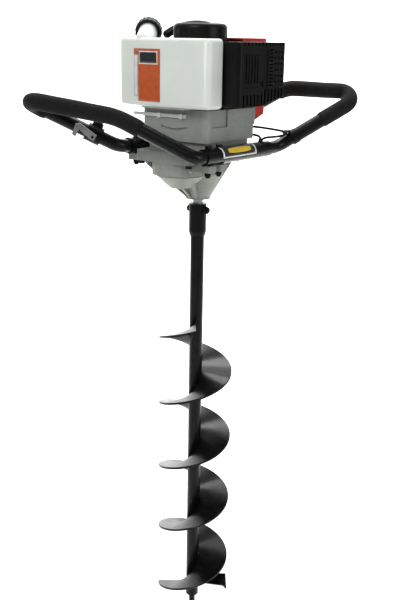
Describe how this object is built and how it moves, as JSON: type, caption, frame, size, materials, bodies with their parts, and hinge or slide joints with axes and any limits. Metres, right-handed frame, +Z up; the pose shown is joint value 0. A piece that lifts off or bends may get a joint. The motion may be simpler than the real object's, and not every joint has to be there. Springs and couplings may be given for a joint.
{
  "type": "earth auger",
  "caption": "Hand-held petrol earth auger: screw bit on a gear case under a small engine with fuel tank, and a looped tubular handlebar with foam grips.",
  "frame": {"origin": "tip of the bit's point, on the drilling axis", "axes": "+Z up the drilling axis, X along the fuel tank's face, the tank on the -Y side and the muffler guard on the +X side"},
  "size_m": [0.4011, 0.5585, 1.2845],
  "materials": {
    "black_paint": "gloss",
    "dark_iron": "satin",
    "cast_grey": "sand cast",
    "steel": "machined",
    "alloy": "satin",
    "black_plastic": "moulded",
    "red_plastic": "moulded",
    "tank_plastic": "translucent",
    "grey_plastic": "moulded",
    "foam": "foam",
    "rubber": "smooth",
    "rope": "braided",
    "friction_lining": "sintered",
    "ceramic": "glazed"
  },
  "bodies": {
    "machine": {"gear_bearings": "steel", "output_seal": "rubber", "gear_case": "cast_grey", "gear_case_cover": "cast_grey", "gear_case_bolts": "dark_iron", "clutch_housing": "cast_grey", "crankcase_lower": "cast_grey", "crankcase_upper": "cast_grey", "crank_bearings": "steel", "cylinder_barrel": "alloy", "spark_plug": "ceramic", "plug_cap": "rubber", "carburettor": "alloy", "air_filter_box": "black_plastic", "muffler": "dark_iron", "muffler_guard": "dark_iron", "engine_shroud": "red_plastic", "fan_housing": "black_plastic", "starter_housing": "black_plastic", "recoil_spring": "steel", "starter_rope": "rope", "fuel_tank": "tank_plastic", "tank_bracket": "steel", "handlebar_right": "black_paint", "handlebar_left": "black_paint", "handle_sleeves": "black_paint", "handle_bolts": "dark_iron", "grip_right": "foam", "grip_left": "foam", "handle_collar": "black_plastic", "throttle_housing": "black_plastic", "control_cables": "rubber"},
    "bit": {"bit_tube": "black_paint", "bit_collar": "dark_iron", "flight": "black_paint", "cutters": "black_paint", "pilot_point": "black_paint", "cross_bolt": "steel", "output_shaft": "steel", "output_gear": "steel"},
    "layshaft": {"layshaft": "steel", "layshaft_gear": "steel"},
    "input": {"input_pinion": "steel", "clutch_drum": "dark_iron"},
    "crank": {"crankshaft": "steel", "flywheel": "alloy", "clutch_hub": "dark_iron"},
    "shoe_a": {"clutch_shoe_a": "friction_lining"},
    "shoe_b": {"clutch_shoe_b": "friction_lining"},
    "piston": {"piston": "alloy", "wrist_pin": "steel", "connecting_rod": "alloy", "crank_pin": "steel"},
    "pull": {"pull_handle": "black_plastic"},
    "reel": {"starter_reel": "black_plastic", "rope_winding": "rope"},
    "cap": {"fuel_cap": "black_plastic"},
    "trigger": {"throttle_trigger": "grey_plastic"},
    "choke": {"choke_lever": "steel"},
    "switch": {"stop_switch": "red_plastic"}
  },
  "joints": [
    {"name": "bit_spin", "type": "hinge", "parent": "machine", "child": "bit", "pos_m": [0, 0, 0], "axis": [0, 0, 1], "continuous": true},
    {"name": "layshaft_spin", "type": "hinge", "parent": "machine", "child": "layshaft", "pos_m": [0, -0.054, 0], "axis": [0, 0, 1], "continuous": true},
    {"name": "input_spin", "type": "hinge", "parent": "machine", "child": "input", "pos_m": [0, 0, 0], "axis": [0, 0, 1], "continuous": true},
    {"name": "crank_spin", "type": "hinge", "parent": "machine", "child": "crank", "pos_m": [0, 0, 0], "axis": [0, 0, 1], "continuous": true},
    {"name": "shoe_a_swing", "type": "hinge", "parent": "crank", "child": "shoe_a", "pos_m": [0.029, 0, 1.066], "axis": [0, 0, -1], "range_deg": [0, 2.5], "stiffness_Nm_per_rad": 2, "springref_deg": -5.73},
    {"name": "shoe_b_swing", "type": "hinge", "parent": "crank", "child": "shoe_b", "pos_m": [-0.029, 0, 1.066], "axis": [0, 0, -1], "range_deg": [0, 2.5], "stiffness_Nm_per_rad": 2, "springref_deg": -5.73},
    {"name": "piston_stroke", "type": "slide", "parent": "machine", "child": "piston", "axis": [0, 1, 0], "range_m": [-0.034, 0]},
    {"name": "starter_pull", "type": "slide", "parent": "machine", "child": "pull", "axis": [-0.6157, 0.788, 0], "range_m": [0, 0.6], "stiffness_N_per_m": 15, "springref_m": -0.4, "deforming": ["starter_rope"]},
    {"name": "reel_turn", "type": "hinge", "parent": "machine", "child": "reel", "pos_m": [0, 0, 0], "axis": [0, 0, 1], "range_deg": [-1280, 0]},
    {"name": "cap_lift", "type": "slide", "parent": "machine", "child": "cap", "axis": [-0.5118, 0.7881, 0.342], "range_m": [0, 0.02]},
    {"name": "throttle_squeeze", "type": "hinge", "parent": "machine", "child": "trigger", "pos_m": [-0.10783, -0.17714, 1.07163], "axis": [-0.6973, 0.7168, 0], "range_deg": [0, 15], "stiffness_Nm_per_rad": 0.4, "springref_deg": -14.32},
    {"name": "choke_turn", "type": "hinge", "parent": "machine", "child": "choke", "pos_m": [-0.076, 0.093, 1.144], "axis": [0, -1, 0], "range_deg": [0, 35]},
    {"name": "stop_slide", "type": "slide", "parent": "machine", "child": "switch", "axis": [-0.6457, -0.6281, 0.4344], "range_m": [0, 0.005]}
  ],
  "couplings": [
    {"joint": "layshaft_spin", "follows": "bit_spin", "ratio": -5},
    {"joint": "input_spin", "follows": "bit_spin", "ratio": 26.765},
    {"joint": "reel_turn", "follows": "starter_pull", "rad_per_m": -37.037}
  ]
}
